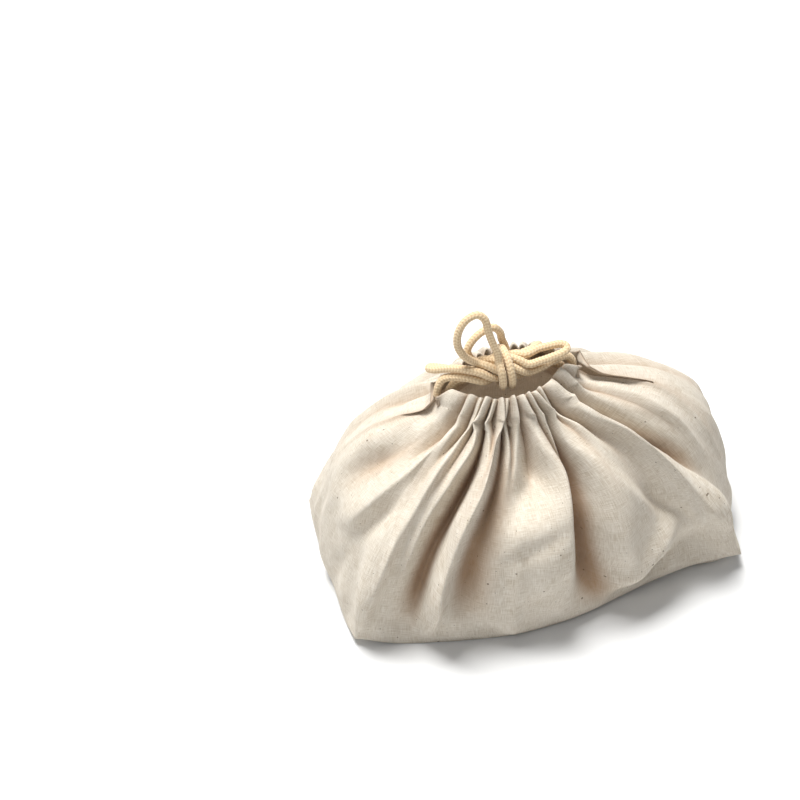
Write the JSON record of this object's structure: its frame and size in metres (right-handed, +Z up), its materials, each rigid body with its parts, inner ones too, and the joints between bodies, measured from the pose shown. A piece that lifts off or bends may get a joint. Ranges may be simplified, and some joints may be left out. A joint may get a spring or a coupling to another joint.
{
  "type": "drawstring lunch bag",
  "caption": "Soft rectangular bag of undyed woven linen with a boxed base, its mouth gathered by braided drawcords tied in a bow.",
  "frame": {"origin": "on the surface the bag stands on, under the middle of the cloth", "axes": "+Z up, +X along the longer side of the base, front with the bow towards -Y"},
  "size_m": [0.2611, 0.1591, 0.1867],
  "materials": {
    "linen": "undyed plain weave of linen and cotton with fine dark flecks",
    "cotton_cord": "cream braided cotton"
  },
  "bodies": {
    "root": {"bag_body": "linen", "cord_left": "cotton_cord", "cord_right": "cotton_cord"}
  },
  "joints": []
}
